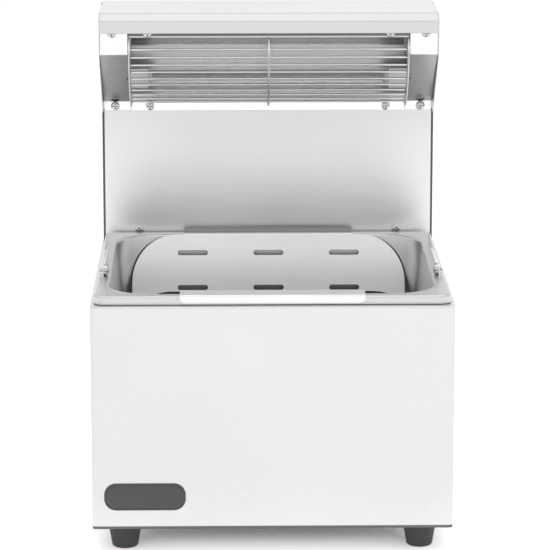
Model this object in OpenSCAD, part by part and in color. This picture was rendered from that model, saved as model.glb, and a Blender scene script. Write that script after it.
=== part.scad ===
// Counter-top chip warmer: a sheet-steel body with a drop-in pan and a slotted
// drain insert under a lamp hood carried on a riser. Millimetres, +Z up.
// Origin: on the surface it stands on, in the middle of its overall box.
// Depths (Y) in the values below are counted from the body's front face.

/* [Body] */
// Width of the body casing
body_w = 360; // [340:1:400]
// Depth of the body casing, front face to rear face
body_d = 366; // [362:1:400]
// Height of the casing above the feet
body_h = 227; // [190:1:260]
// Thickness of the casing sheet
body_t = 1.2; // [0.8:0.1:2]
// Outside radius of the casing's front corners
body_corner_r = 4; // [2:0.5:10]
// Width of the flange turned in along the casing's lower edge
bottom_flange_w = 18; // [14:1:26]
// Thickness of the inner sheets: floor, rear panel, bulkhead and deck
inner_t = 1.2; // [0.8:0.1:2]
// Distance of the bulkhead in front of the riser's front sheet
bulkhead_set = 5; // [3:0.5:7]

/* [Feet] */
// Height of a rubber foot
foot_h = 26.5; // [15:0.5:40]
// Radius of a foot where it meets the floor of the casing
foot_top_r = 17.2; // [14:0.1:20]
// Radius of a foot where it stands
foot_base_r = 13.4; // [11:0.1:18]
// Distance of a foot's centre from each side of the body
foot_inset = 31.5; // [28:0.5:60]

/* [Pan] */
// Width of the deck left bare on each side of the pan
deck_side = 3; // [2:0.5:8]
// Depth of the deck left bare in front of the pan
pan_front = 8; // [4:0.5:10]
// Gap between the pan's rear edge and the riser
pan_rear_gap = 9; // [6:0.5:12]
// Height of the pan's flange above the deck
pan_rim_h = 9; // [7:0.5:12]
// Width of the pan's flange along its sides
pan_flange_x = 13.5; // [10:0.5:18]
// Width of the pan's flange along its front and rear
pan_flange_y = 12.5; // [10:0.5:15]
// Depth of the pan below its flange
pan_depth = 100; // [90:1:120]
// Thickness of the pan's sheet
pan_t = 1; // [0.6:0.1:1.5]
// Corner radius of the pan's opening
pan_corner_r = 46; // [30:1:48]
// Corner radius of the pan's flange
pan_rim_r = 12; // [6:1:20]
// How far each pan wall leans in from top to bottom
pan_draft = 7; // [2:1:12]

/* [Drain insert] */
// Distance of the insert's sides in from the pan's sides
insert_side = 29.5; // [26:0.5:40]
// Distance of the insert's front wall behind the pan's front edge
insert_front_set = 22; // [20:0.5:30]
// Distance of the insert's rear wall in front of the pan's rear edge
insert_rear_set = 14; // [14:0.5:20]
// Depth of the insert below the pan's rim
insert_depth = 72; // [60:1:80]
// Lean of the insert's walls over their height
insert_lean = 30; // [26:1:40]
// Thickness of the insert's sheet
insert_t = 1; // [0.8:0.1:1.5]
// Radius of the upper corners of the insert's walls
insert_corner_r = 48; // [30:1:50]
// Radius of the bends at the insert's bottom
insert_bend_r = 12; // [6:1:20]
// Distance of the lips' ends in from the insert's sides
lip_set = 56; // [52:1:80]
// How far the front lip hangs over the pan's edge
hook_drop = 7.2; // [6.2:0.1:8]
// Height of the finger fold at the end of the rear lip
lip_fold_h = 4.2; // [3:0.1:5]
// Length of a drain slot
slot_l = 32.6; // [20:0.2:40]
// Width of a drain slot
slot_w = 5.1; // [4.5:0.1:7]
// Distance of the outer columns of slots in from the insert's sides
slot_set = 65.5; // [50:0.5:80]
// Distance of the upper slots below the rim
slot_row_1 = 18.5; // [14:0.5:20]
// Distance of the lower slots below the rim
slot_row_2 = 54; // [40:0.5:55]
// Distance between the rows of slots in the insert's bottom
floor_slot_pitch = 40; // [30:1:50]

/* [Riser] */
// Depth of the riser, front sheet to rear cover
riser_d = 24; // [22:0.5:30]
// Thickness of the riser's sheets
riser_t = 1; // [0.8:0.1:1.5]
// Height of the riser's top above the deck
riser_h = 256.6; // [230:0.1:280]

/* [Hood] */
// Thickness of the hood's sheets
hood_t = 1; // [0.8:0.1:1.2]
// Reach of the hood in front of the riser
hood_reach = 92; // [86:1:100]
// Height of the hood's front lip
hood_lip_h = 13.7; // [10:0.1:20]
// Length of the bevel above the lip
hood_bevel_l = 16; // [8:1:24]
// Height of the bevel above the lip
hood_bevel_h = 5.9; // [3:0.1:10]
// Rise of the roof from the bevel to the rear
hood_rise = 1.7; // [0:0.1:4]
// Depth of a lamp cover's upper face behind the lip
cover_set = 5; // [4.5:0.1:8]
// Height of a lamp cover's upper face below the lip
cover_face_h = 23.1; // [18:0.1:28]
// Width of a lamp cover
cover_w = 29; // [26:0.5:34]
// Height of the hood's screw flange on the riser
hood_flange_h = 10.2; // [10.2:0.1:14]
// Height of the hood from its screw flange to the riser's top
hood_h = 104.5; // [102:0.5:110]

/* [Lamp] */
// Distance of the lamp's axis in front of the riser
lamp_set = 42; // [40:0.5:46]
// Height of the lamp's axis above the hood's screw flange
lamp_h = 32; // [30:0.5:34]
// Radius of the lamp's quartz tube
lamp_r = 7; // [5:0.5:8]
// Depth of the lamp's tube ends inside the width between the lamp covers
lamp_end_gap = 24.8; // [24:0.2:34]
// Wall of the lamp's quartz tube
lamp_wall = 1.2; // [0.8:0.1:2]
// Side of a ceramic lamp holder
holder_side = 21; // [19:0.5:22]
// Thickness of the reflector's sheet
reflector_t = 0.6; // [0.5:0.1:0.8]
// Radius of the arc that the wire guard follows
guard_r = 100; // [98:0.5:102]
// Radius of the guard's wires
wire_r = 1.25; // [1:0.05:1.6]
// Number of long wires in the guard
guard_wires = 10; // [6:1:12]

/* [Badge] */
// Length of the blank badge plate
badge_l = 81.4; // [60:0.2:100]
// Height of the blank badge plate
badge_h = 27.8; // [20:0.2:34]
// Thickness of the blank badge plate
badge_t = 2.4; // [1.5:0.1:4]
// Distance of the badge's end from the side of the body
badge_inset = 12; // [8:0.5:30]
// Height of the badge's centre above the casing's lower edge
badge_z = 33.3; // [25:0.5:60]

/* [Switch and cord entry] */
// Width of the rocker switch's bezel
switch_w = 32; // [28:0.5:36]
// Height of the rocker switch's bezel
switch_h = 26; // [22:0.5:30]
// Swing of the rocker from off to on
rocker_swing = 20; // [14:1:24]
// Distance of the switch from the side of the body
switch_inset = 70; // [50:1:90]
// Height of the switch and the cord entry above the casing's lower edge
rear_z = 50; // [40:1:90]
// Distance of the cord entry from the side of the body
gland_inset = 70; // [45:1:90]
// Radius of the cord entry's bore
gland_bore_r = 4; // [3:0.1:5]
// How far the cord entry stands out of the rear panel
gland_out = 14; // [10:0.5:20]

/* [Hidden] */
$fn = 48;
fit_gap = 0.3;
seat_gap = 0.2;
hole_gap = 0.15;
sliver = 0.01;

base_z = foot_h;
deck_z = base_z + body_h;
rim_z = deck_z + pan_rim_h;
floor_z = base_z + body_t;
overall_d = body_d + badge_t + gland_out;
front_y = badge_t - overall_d / 2;
wall_in = body_w / 2 - body_t;

riser_front = body_d - riser_d;
bulkhead_y = riser_front - bulkhead_set;
pan_w = body_w - 2 * deck_side;
pan_d = riser_front - pan_rear_gap - pan_front;
pan_open_w = pan_w - 2 * pan_flange_x;
pan_open_d = pan_d - 2 * pan_flange_y;
pan_rear = pan_front + pan_d;
pan_mid_y = pan_front + pan_d / 2;
deck_open_gap = 1.5;
insert_w = pan_w - 2 * insert_side;
insert_front = pan_front + insert_front_set;
insert_rear = pan_rear - insert_rear_set;
lip_w = insert_w - 2 * lip_set;
slot_pitch = insert_w / 2 - slot_set;
badge_x = body_w / 2 - badge_inset - badge_l / 2;
switch_x = body_w / 2 - switch_inset;
gland_x = body_w / 2 - gland_inset;
rim_bend_r = 2.5;

hood_w = body_w - 2 * riser_t;
hood_front = riser_front - hood_reach;
lamp_y = riser_front - lamp_set;
riser_top = deck_z + riser_h;
flange_top_z = riser_top - hood_h;
hood_low = flange_top_z - hood_flange_h;
roof_rear_z = riser_top + 2;
roof_fold_z = roof_rear_z - hood_rise;
lip_top_z = roof_fold_z - hood_bevel_h;
lip_low_z = lip_top_z - hood_lip_h;
roof_fold_y = hood_front + hood_bevel_l;
cheek_t = hood_t;
hood_in = hood_w / 2 - cheek_t;
cover_y = hood_front + cover_set;
crease_z = lip_low_z - cover_face_h;
rail_y = cover_y + hood_t + seat_gap;
rail_top_z = lip_top_z - 2.5;
rail_h = 14.5;
bay_half = hood_in - seat_gap - cover_w;
reflector_half = bay_half - seat_gap - hood_t;
lamp_z = flange_top_z + lamp_h;
lamp_l = 2 * (bay_half - lamp_end_gap);

// Screws: head radius, head height, shank radius and shank length
hood_screw = [4.8, 2.8, 1.8, 4];
riser_screw = [5.1, 3, 2, 5];
case_screw = [4.3, 2.6, 2, 5];
lug_screw = [5.6, 5.2, 2.2, 4];
foot_screw = [4.6, 3, 2.4, 20];

hood_screw_z = flange_top_z - 5.3;
hood_top_screw_z = lip_low_z - 0.2;
cover_screw_x = bay_half + 16.6;
reflector_screw_x = bay_half - 21;
riser_screw_x = body_w / 2 - 39.4;
riser_screw_z = deck_z + 10;
floor_screw_x = body_w / 2 - 64.6;
floor_screw_y = 9;
panel_screw_x = wall_in - 14;
floor_top_z = floor_z + inner_t;
rear_flange_w = 18;
rear_screw_zs = [base_z + 22, base_z + body_h / 2, base_z + body_h - 22];
bulkhead_foot = 12;
foot_pad = foot_inset + foot_top_r + 3;
foot_seat_z = 9.5;
foot_well_r = 6.4;
foot_edge = 0.8;
foot_round = 3.5;
badge_bevel = 1.1;
badge_corner_r = 0.43 * badge_h;
vent_l = 44;
vent_w = 4;
vent_pitch = 9;
stud_r = 2;
stud_h = 12;
stud_nut_h = 3.2;

tub_bend_r = 14;
lug_x = pan_w / 2 - 4.6;
lug_w = 4.2;
lug_t = 1;
lug_ear_x = lug_x - lug_w / 2;
lug_wall_h = 3.5;
lug_rear = pan_mid_y + 62;
lug_screw_y = pan_mid_y - 62;
lug_screw_z = rim_z + 5.8;
lug_strip_front = lug_screw_y + 9;

floor_of_insert = rim_z - insert_depth;
hook_y = pan_front - fit_gap;
lip_gap = fit_gap;
lip_corner_r = 6;

riser_bend_r = 3;
riser_cover_y = body_d - riser_t;
riser_cover_screw_x = body_w / 2 - riser_t - rear_flange_w + 8;
bracket_foot = 6.5;

foot_xs = [-(body_w / 2 - foot_inset), body_w / 2 - foot_inset];
foot_ys = [foot_inset, body_d - foot_inset];
bracket_h = 18;
riser_rear_screw_zs = [deck_z + 24, deck_z + riser_h / 2, riser_top - 24];
rear_panel_y = body_d - inner_t;
deck_slot_y = (riser_front + body_d) / 2 + 2;
deck_slot_l = 60;
deck_slot_w = 12;
lead_hole_r = 5;
lead_x = hood_in - 14;
lead_z = flange_top_z + 45.5;
lead_r = 1.5;
rise_y = riser_front + riser_t + 11;

cover_low_y = riser_front - 0.1 - hood_t;
reflector_front_y = rail_y + hood_t + seat_gap + reflector_t;
reflector_low_y = riser_front - 0.2 - reflector_t;
reflector_back_y = riser_front - 4;

holder_in = bay_half - seat_gap - 20.6;
cap_r = 8;
cap_l = 10;
fit_slack = 0.1;
filament_r = 1.6;
guard_y = riser_front + 12.8;
guard_z = flange_top_z + 93.3;
guard_top = 78;
guard_low = 25;
guard_first = 75;
guard_last = 27;
guard_half = bay_half - 0.4;
cross_wire_x = bay_half - 1.6;

block_l = 64;
deck_slot_x = block_l - 4;
earth_x = -block_l / 2 - 28;
earth_y = bulkhead_y + 20;
block_h = 20;
block_d = 16;
block_z = base_z + 0.44 * body_h;
block_y = bulkhead_y + inner_t;
block_screw = [3, 2, 1.6, 19];
block_screw_x = block_l / 2 - 5;
terminal_xs = [-16.5, -5.5, 5.5, 16.5];
terminal_r = 3;
terminal_lead_y = block_y + block_d / 2;

gland_thread_r = 7;
gland_flange_r = 12;
gland_nut_h = 5;
gland_in_y = rear_panel_y - 12;

rocker_pin_r = 2;
rocker_pin_gap = 0.05;
rocker_w = switch_w - 10;
rocker_h = switch_h - 8;
rocker_axis_y = body_d - 2.5;
switch_d = 16;
bezel_t = 2;
neck_w = switch_w - 4;
neck_h = switch_h - 4;

steel = [0.80, 0.81, 0.82];
polished = [0.87, 0.88, 0.89];
dark_rubber = [0.16, 0.16, 0.17];
ceramic = [0.95, 0.94, 0.90];
quartz = [0.93, 0.93, 0.90, 0.6];
badge_grey = [0.30, 0.30, 0.31];
black_plastic = [0.09, 0.09, 0.10];
brass = [0.78, 0.62, 0.32];

// Sheet-metal profiles: a path of [depth, height] points with rounded bends,
// given a thickness on its left-hand side

function unit(v) = v / norm(v);
function left_of(v) = [-v[1], v[0]];

function bend_points(a, b, c, r) =
    let (u = unit(a - b), w = unit(c - b))
    let (half = acos(u * w) / 2, reach = r / tan(half))
    let (centre = b + unit(u + w) * r / sin(half), start = b + u * reach, stop = b + w * reach)
    let (s = start - centre, e = stop - centre)
    let (turn = s[0] * e[1] - s[1] * e[0] > 0 ? 1 : -1, sweep = 180 - 2 * half)
    let (steps = max(2, ceil(sweep / (r > 5 ? 8 : 15))))
    [for (i = [0:steps]) let (a1 = turn * sweep * i / steps)
        centre + [s[0] * cos(a1) - s[1] * sin(a1), s[0] * sin(a1) + s[1] * cos(a1)]];

function bent(path, radii) =
    [for (i = [0:len(path) - 1])
        each (i == 0 || i == len(path) - 1 || radii[i] == 0
            ? [path[i]]
            : bend_points(path[i - 1], path[i], path[i + 1], radii[i]))];

function side_shift(p, i, t) =
    let (last = len(p) - 1)
    let (n0 = left_of(unit(i == 0 ? p[1] - p[0] : p[i] - p[i - 1])))
    let (n1 = left_of(unit(i == last ? p[last] - p[last - 1] : p[i + 1] - p[i])))
    p[i] + (n0 + n1) / (1 + n0 * n1) * t;

function sheet_band(path, t) =
    concat(path, [for (i = [len(path) - 1:-1:0]) side_shift(path, i, t)]);

// Places a shape measured from the body's front face
module placed() {
    translate([0, front_y, 0]) children();
}

// Extrudes a shape drawn in depth and height along X, from x0 to x1
module across(x0, x1) {
    translate([x0, 0, 0]) rotate([90, 0, 90]) linear_extrude(x1 - x0) children();
}

// Extrudes a shape drawn in X and height along the depth, from y0 to y1
module through(y0, y1) {
    translate([0, y1, 0]) rotate([90, 0, 0]) linear_extrude(y1 - y0) children();
}

module block(x0, x1, y0, y1, z0, z1) {
    translate([x0, y0, z0]) cube([x1 - x0, y1 - y0, z1 - z0]);
}

module folded_sheet(path, radii, t, x0, x1) {
    across(x0, x1) polygon(sheet_band(bent(path, radii), t));
}

module mirrored_pair() {
    children();
    mirror([1, 0, 0]) children();
}

module rounded_rect(w, d, r) {
    square([w - 2 * r, d], center = true);
    square([w, d - 2 * r], center = true);
    for (x = [-1, 1], y = [-1, 1])
        translate([x * (w / 2 - r), y * (d / 2 - r)]) circle(r);
}

module stadium(l, w) {
    square([l - w, w], center = true);
    for (x = [-1, 1])
        translate([x * (l - w) / 2, 0]) circle(w / 2);
}

// A round bar or hole along X, along the depth, or upright
module bar_x(x0, x1, y, z, r) {
    translate([x0, y, z]) rotate([0, 90, 0]) cylinder(h = x1 - x0, r = r);
}

module bar_y(x, y0, y1, z, r) {
    translate([x, y0, z]) rotate([-90, 0, 0]) cylinder(h = y1 - y0, r = r);
}

module bar_z(x, y, z0, z1, r) {
    translate([x, y, z0]) cylinder(h = z1 - z0, r = r);
}

// Pan-head screw with a cross recess: the head stands on z = 0 and points up
module pan_screw(s) {
    head_r = s[0];
    head_h = s[1];
    recess = head_r * 0.28;
    dome = [for (a = [0:15:90]) [head_r * (0.55 + 0.45 * cos(a)), head_h * (0.3 + 0.7 * sin(a))]];
    difference() {
        rotate_extrude() polygon(concat([[0, 0], [head_r, 0]], dome, [[0, head_h]]));
        for (a = [0, 90])
            rotate(a) translate([-head_r * 0.6, -recess / 2, head_h * 0.45])
                cube([head_r * 1.2, recess, head_h]);
    }
    translate([0, 0, -s[3]]) cylinder(h = s[3], r = s[2]);
}

// The same screw driven rearwards, with its head on the plane y
module front_screw(x, y, z, s) {
    translate([x, y, z]) rotate([90, 0, 0]) pan_screw(s);
}

module rear_screw(x, y, z, s) {
    translate([x, y, z]) rotate([-90, 0, 0]) pan_screw(s);
}

module screw_hole_y(x, y, z, s) {
    bar_y(x, y - 3, y + 3, z, s[2] + hole_gap);
}

// Round lead swept along a list of points, as one closed mesh
function ring_normal(p, i) =
    unit(i == 0 ? p[1] - p[0] : i == len(p) - 1 ? p[i] - p[i - 1] : p[i + 1] - p[i - 1]);

function ring_side(n) = unit(cross(n, abs(n[0]) < 0.9 ? [1, 0, 0] : [0, 1, 0]));

function smoothed(p) =
    [for (i = [0:len(p) - 1]) each (i == 0 || i == len(p) - 1
        ? [p[i]]
        : [for (t = [0, 0.5, 1]) let (a = (p[i - 1] + p[i] * 2) / 3, b = (p[i + 1] + p[i] * 2) / 3)
            a * (1 - t) * (1 - t) + p[i] * 2 * t * (1 - t) + b * t * t])];

module lead(route, r, sides = 8) {
    p = smoothed(route);
    rings = [for (i = [0:len(p) - 1])
        let (n = ring_normal(p, i), u = ring_side(n), w = cross(n, u))
        [for (k = [0:sides - 1]) p[i] + r * (u * cos(360 * k / sides) + w * sin(360 * k / sides))]];
    quads = [for (i = [0:len(p) - 2], k = [0:sides - 1])
        let (a = i * sides + k, b = i * sides + (k + 1) % sides)
        each [[a, b, b + sides], [a, b + sides, a + sides]]];
    caps = [[for (k = [sides - 1:-1:0]) k], [for (k = [0:sides - 1]) (len(p) - 1) * sides + k]];
    polyhedron(points = [for (ring = rings) each ring], faces = concat(quads, caps));
}

// Body

// A rectangle seen in plan, rounded at its two front corners
module rounded_front(w, y0, y1, r) {
    translate([-w / 2, y0 + r]) square([w, y1 - y0 - r]);
    translate([r - w / 2, y0]) square([w - 2 * r, 2 * r]);
    for (x = [-1, 1])
        translate([x * (w / 2 - r), y0 + r]) circle(r);
}

// A channel seen in plan: a front and two sides of one sheet
module channel_plan(w, y0, y1, t, r) {
    difference() {
        rounded_front(w, y0, y1, r);
        rounded_front(w - 2 * t, y0 + t, y1 + 1, r - t);
    }
}

// Slots across the sheet, one above the other
module vent_slots(x, z, count, pitch, length, width) {
    for (i = [0:count - 1])
        translate([x, z + i * pitch]) stadium(length, width);
}

module foot_spots() {
    for (x = foot_xs, y = foot_ys)
        translate([x, y, 0]) children();
}

module floor_screw_spots() {
    for (x = [-1, 1]) {
        translate([x * floor_screw_x, floor_screw_y, base_z]) children();
        for (y = [body_d * 0.27, body_d * 0.83])
            translate([x * (wall_in - bottom_flange_w / 2), y, base_z]) children();
    }
}

module rear_panel_spots() {
    for (x = [-1, 1], z = rear_screw_zs)
        translate([x * panel_screw_x, body_d, z]) children();
}

// Body

module casing() color(steel) placed() difference() {
    union() {
        translate([0, 0, base_z]) linear_extrude(body_h - inner_t)
            channel_plan(body_w, 0, body_d, body_t, body_corner_r);
        mirrored_pair() block(wall_in - rear_flange_w, wall_in + sliver, rear_panel_y - body_t, rear_panel_y,
            base_z, deck_z - inner_t);
        translate([0, 0, base_z]) linear_extrude(body_t) {
            difference() {
                translate([-wall_in - sliver, body_t - sliver])
                    square([2 * (wall_in + sliver), rear_panel_y - body_t + sliver]);
                translate([bottom_flange_w - wall_in, body_t + bottom_flange_w])
                    square([2 * (wall_in - bottom_flange_w), rear_panel_y - body_t - 2 * bottom_flange_w]);
            }
            for (x = [-wall_in, wall_in - foot_pad], y = [body_t, rear_panel_y - foot_pad])
                translate([x, y]) square(foot_pad);
        }
    }
    foot_spots() bar_z(0, 0, base_z - 1, base_z + 3, foot_screw[2] + hole_gap);
    floor_screw_spots() bar_z(0, 0, -1, 3, case_screw[2] + hole_gap);
    rear_panel_spots() bar_y(0, -4, 1, 0, case_screw[2] + hole_gap);
}

module floor_plate() color(steel) placed() difference() {
    translate([0, 0, floor_z]) linear_extrude(inner_t)
        rounded_front(2 * (wall_in - seat_gap), body_t + seat_gap, rear_panel_y - body_t - seat_gap,
            body_corner_r);
    foot_spots() bar_z(0, 0, floor_z - 1, floor_z + 3, foot_screw[2] + hole_gap);
    floor_screw_spots() bar_z(0, 0, 0, 4, case_screw[2] + hole_gap);
    bar_z(earth_x, earth_y, floor_z - 1, floor_z + 3, stud_r + hole_gap);
    translate([0, pan_mid_y, floor_z - 1]) linear_extrude(4)
        vent_slots(0, -2 * vent_pitch, 5, vent_pitch, vent_l, vent_w);
}

module rear_panel() color(steel) placed() difference() {
    block(seat_gap - wall_in, wall_in - seat_gap, rear_panel_y, body_d, base_z, deck_z - inner_t - seat_gap);
    rear_panel_spots() bar_y(0, -4, 1, 0, case_screw[2] + hole_gap);
    bar_y(-gland_x, rear_panel_y - 1, body_d + 1, base_z + rear_z, gland_thread_r + hole_gap);
    block(switch_x - neck_w / 2 - seat_gap, switch_x + neck_w / 2 + seat_gap, rear_panel_y - 1, body_d + 1,
        base_z + rear_z - neck_h / 2 - seat_gap, base_z + rear_z + neck_h / 2 + seat_gap);
    through(rear_panel_y - 1, body_d + 1)
        for (x = [-vent_l, 0, vent_l])
            vent_slots(1.4 * x, base_z + 130, 6, vent_pitch, vent_l, vent_w);
}

module bulkhead() color(steel) placed() difference() {
    folded_sheet([[bulkhead_y, deck_z - inner_t - seat_gap], [bulkhead_y, floor_top_z],
        [bulkhead_y + inner_t + bulkhead_foot, floor_top_z]], [0, 2, 0], inner_t,
        seat_gap - wall_in, wall_in - seat_gap);
    mirrored_pair() bar_y(block_screw_x, bulkhead_y - 1, block_y + 1, block_z + block_h / 2,
        block_screw[2] + hole_gap);
}

module top_deck() color(steel) placed() difference() {
    translate([0, 0, deck_z - inner_t]) linear_extrude(inner_t)
        rounded_front(body_w, 0, body_d, body_corner_r);
    translate([0, pan_mid_y, deck_z - 5]) linear_extrude(10)
        rounded_rect(pan_open_w + 2 * (pan_t + deck_open_gap), pan_open_d + 2 * (pan_t + deck_open_gap),
            pan_corner_r + pan_t + deck_open_gap);
    translate([deck_slot_x, deck_slot_y, deck_z - 5]) linear_extrude(10) stadium(deck_slot_l, deck_slot_w);
}

module badge_plate() color(badge_grey) placed() translate([-badge_x, 0, base_z + badge_z])
    rotate([90, 0, 0]) hull() {
        linear_extrude(badge_t - badge_bevel) rounded_rect(badge_l, badge_h, badge_corner_r);
        linear_extrude(badge_t)
            rounded_rect(badge_l - 2 * badge_bevel, badge_h - 2 * badge_bevel, badge_corner_r - badge_bevel);
    }

// Feet and the screws under the body

module foot(x, y) color(dark_rubber) placed() translate([x, y, 0])
    rotate_extrude() polygon([
        [foot_screw[2] + hole_gap, foot_seat_z], [foot_well_r, foot_seat_z], [foot_well_r, 0],
        for (a = [0:15:90])
            [foot_base_r - foot_round * (1 - sin(a)), foot_round * (1 - cos(a))],
        [foot_top_r, foot_h - foot_edge], [foot_top_r, foot_h], [foot_screw[2] + hole_gap, foot_h]]);

module foot_front_left() foot(foot_xs[0], foot_ys[0]);
module foot_front_right() foot(foot_xs[1], foot_ys[0]);
module foot_rear_left() foot(foot_xs[0], foot_ys[1]);
module foot_rear_right() foot(foot_xs[1], foot_ys[1]);

module foot_screws() color(steel) placed()
    foot_spots() translate([0, 0, foot_seat_z]) mirror([0, 0, 1]) pan_screw(foot_screw);

module floor_screws() color(steel) placed()
    floor_screw_spots() mirror([0, 0, 1]) pan_screw(case_screw);

module rear_panel_screws() color(steel) placed()
    rear_panel_spots() rear_screw(0, 0, 0, case_screw);

// Pan and the lugs on its flange

module pan_slab(w, d, r, z, h) {
    translate([0, pan_mid_y, z]) linear_extrude(h) rounded_rect(w, d, r, $fn = 32);
}

// The pan's tub, larger all round by grow
module tub(grow, top, bottom) {
    w = pan_open_w + 2 * grow;
    d = pan_open_d + 2 * grow;
    // Each step is how far the outline has drawn in, and its height
    steps = [[0, top], [pan_draft, bottom + tub_bend_r],
        [pan_draft + tub_bend_r * 0.3, bottom + tub_bend_r * 0.3], [pan_draft + tub_bend_r, bottom]];
    hull() for (s = steps)
        pan_slab(w - 2 * s[0], d - 2 * s[0], pan_corner_r + grow - s[0] / 2, s[1], sliver);
}

module pan() color(polished) placed() difference() {
    union() {
        difference() {
            hull() {
                pan_slab(pan_w, pan_d, pan_rim_r, deck_z, pan_rim_h - rim_bend_r);
                pan_slab(pan_w - 0.6 * rim_bend_r, pan_d - 0.6 * rim_bend_r, pan_rim_r, deck_z,
                    pan_rim_h - 0.3 * rim_bend_r);
                pan_slab(pan_w - 2 * rim_bend_r, pan_d - 2 * rim_bend_r, pan_rim_r - rim_bend_r,
                    deck_z, pan_rim_h);
            }
            pan_slab(pan_w - 2 * pan_t - rim_bend_r, pan_d - 2 * pan_t - rim_bend_r, pan_rim_r - pan_t,
                deck_z - 1, pan_rim_h - pan_t + 1);
            pan_slab(pan_w - 2 * pan_t, pan_d - 2 * pan_t, pan_rim_r - pan_t,
                deck_z - 1, pan_rim_h - rim_bend_r + 1);
        }
        tub(pan_t, rim_z - pan_t, rim_z - pan_depth - pan_t);
    }
    tub(0, rim_z + sliver, rim_z - pan_depth);
}

// A lug: a strip that lies on the flange, and a low wall that rises to the screw
module pan_lug() {
    difference() {
        union() {
            translate([lug_x, lug_rear - lug_w / 2, rim_z]) linear_extrude(lug_t) circle(lug_w / 2);
            block(lug_x - lug_w / 2, lug_x + lug_w / 2, lug_strip_front, lug_rear - lug_w / 2,
                rim_z, rim_z + lug_t);
            across(lug_ear_x, lug_ear_x + lug_t) polygon([
                [lug_rear - lug_w / 2, rim_z], [lug_rear - lug_w / 2, rim_z + lug_t],
                [lug_rear - lug_w / 2 - 4, rim_z + lug_wall_h], [lug_screw_y + 11, rim_z + lug_wall_h],
                [lug_screw_y + 5, lug_screw_z + 3], [lug_screw_y + 2.5, lug_screw_z + 5],
                [lug_screw_y - 2.5, lug_screw_z + 5], [lug_screw_y - 5, lug_screw_z + 3],
                [lug_screw_y - 5, rim_z]]);
        }
        bar_x(lug_ear_x - 1, lug_ear_x + lug_t + 1, lug_screw_y, lug_screw_z, lug_screw[2] + hole_gap);
    }
}

module pan_lug_right() color(steel) placed() pan_lug();
module pan_lug_left() color(steel) placed() mirror([1, 0, 0]) pan_lug();

module pan_lug_screws() color(polished) placed() mirrored_pair()
    translate([lug_ear_x, lug_screw_y, lug_screw_z]) rotate([0, -90, 0]) pan_screw(lug_screw);

// Drain insert: one sheet folded into a cradle, cut to its outline and slotted

module insert_outline() {
    translate([-insert_w / 2, floor_of_insert - 2])
        square([insert_w, insert_depth + 2 - insert_corner_r]);
    for (x = [-1, 1])
        translate([x * (insert_w / 2 - insert_corner_r), rim_z - insert_corner_r])
            circle(insert_corner_r, $fn = 96);
    translate([insert_corner_r - insert_w / 2, rim_z - insert_corner_r - sliver])
        square([insert_w - 2 * insert_corner_r, insert_corner_r + sliver]);
    translate([-lip_w / 2, rim_z - 4]) square([lip_w, lip_fold_h + 8]);
}

module insert_wall_slots() {
    for (x = [-1:1], drop = [slot_row_1, slot_row_2])
        translate([x * slot_pitch, rim_z - drop]) stadium(slot_l, slot_w);
}

module lip_corner_cuts() {
    mirrored_pair() difference() {
        translate([lip_w / 2 - lip_corner_r, rim_z - hook_drop - 1]) square(lip_corner_r + 1);
        translate([lip_w / 2 - lip_corner_r, rim_z - hook_drop + lip_corner_r]) circle(lip_corner_r);
    }
}

module drain_insert() color(polished) placed() difference() {
    intersection() {
        folded_sheet([
            [hook_y, rim_z - hook_drop], [hook_y, rim_z + lip_gap], [insert_front, rim_z + lip_gap],
            [insert_front + insert_lean, floor_of_insert], [insert_rear - insert_lean, floor_of_insert],
            [insert_rear, rim_z + lip_gap], [pan_rear, rim_z + lip_gap],
            [pan_rear, rim_z + lip_gap + lip_fold_h]],
            [0, 0.6, 1, insert_bend_r, insert_bend_r, 1, 1.5, 0], insert_t, -insert_w / 2, insert_w / 2);
        union() {
            through(insert_front - 8, insert_rear + 8) insert_outline();
            block(-lip_w / 2, lip_w / 2, 0, pan_rear + 5, rim_z - hook_drop - 1, rim_z + lip_fold_h + 5);
        }
    }
    through(insert_front - 8, insert_rear + 8) insert_wall_slots();
    through(0, pan_front + 1) lip_corner_cuts();
    for (x = [-1:1], y = [-2:2])
        translate([x * slot_pitch, pan_mid_y + y * floor_slot_pitch, floor_of_insert - 2])
            linear_extrude(5) stadium(slot_l, slot_w);
}

// Riser behind the pan

module riser_front_sheet() color(steel) placed() difference() {
    union() {
        translate([0, 0, deck_z]) linear_extrude(riser_h)
            channel_plan(body_w, riser_front, body_d, riser_t, riser_bend_r);
        mirrored_pair() block(body_w / 2 - riser_t - rear_flange_w, body_w / 2 - riser_t + sliver,
            riser_cover_y - riser_t, riser_cover_y, deck_z, riser_top);
    }
    mirrored_pair() {
        bar_y(lead_x, riser_front - 1, riser_front + 3, lead_z, lead_hole_r);
        screw_hole_y(riser_screw_x, riser_front, riser_screw_z, riser_screw);
        screw_hole_y(cover_screw_x, riser_front, hood_screw_z, hood_screw);
        screw_hole_y(reflector_screw_x, riser_front, hood_screw_z, hood_screw);
        for (z = riser_rear_screw_zs)
            screw_hole_y(riser_cover_screw_x, riser_cover_y, z, case_screw);
    }
}

module riser_rear_cover() color(steel) placed() difference() {
    block(riser_t + seat_gap - body_w / 2, body_w / 2 - riser_t - seat_gap, riser_cover_y, body_d,
        deck_z, riser_top);
    mirrored_pair() for (z = riser_rear_screw_zs)
        screw_hole_y(riser_cover_screw_x, riser_cover_y, z, case_screw);
}

module riser_bracket() color(steel) placed() difference() {
    folded_sheet([[riser_front + riser_t, deck_z + bracket_h], [riser_front + riser_t, deck_z],
        [riser_front + riser_t + bracket_foot, deck_z]], [0, 2, 0], inner_t,
        riser_bend_r + riser_t - body_w / 2, body_w / 2 - riser_bend_r - riser_t);
    mirrored_pair() screw_hole_y(riser_screw_x, riser_front + riser_t, riser_screw_z, riser_screw);
}

module riser_screws() color(steel) placed() mirrored_pair()
    front_screw(riser_screw_x, riser_front, riser_screw_z, riser_screw);

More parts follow.
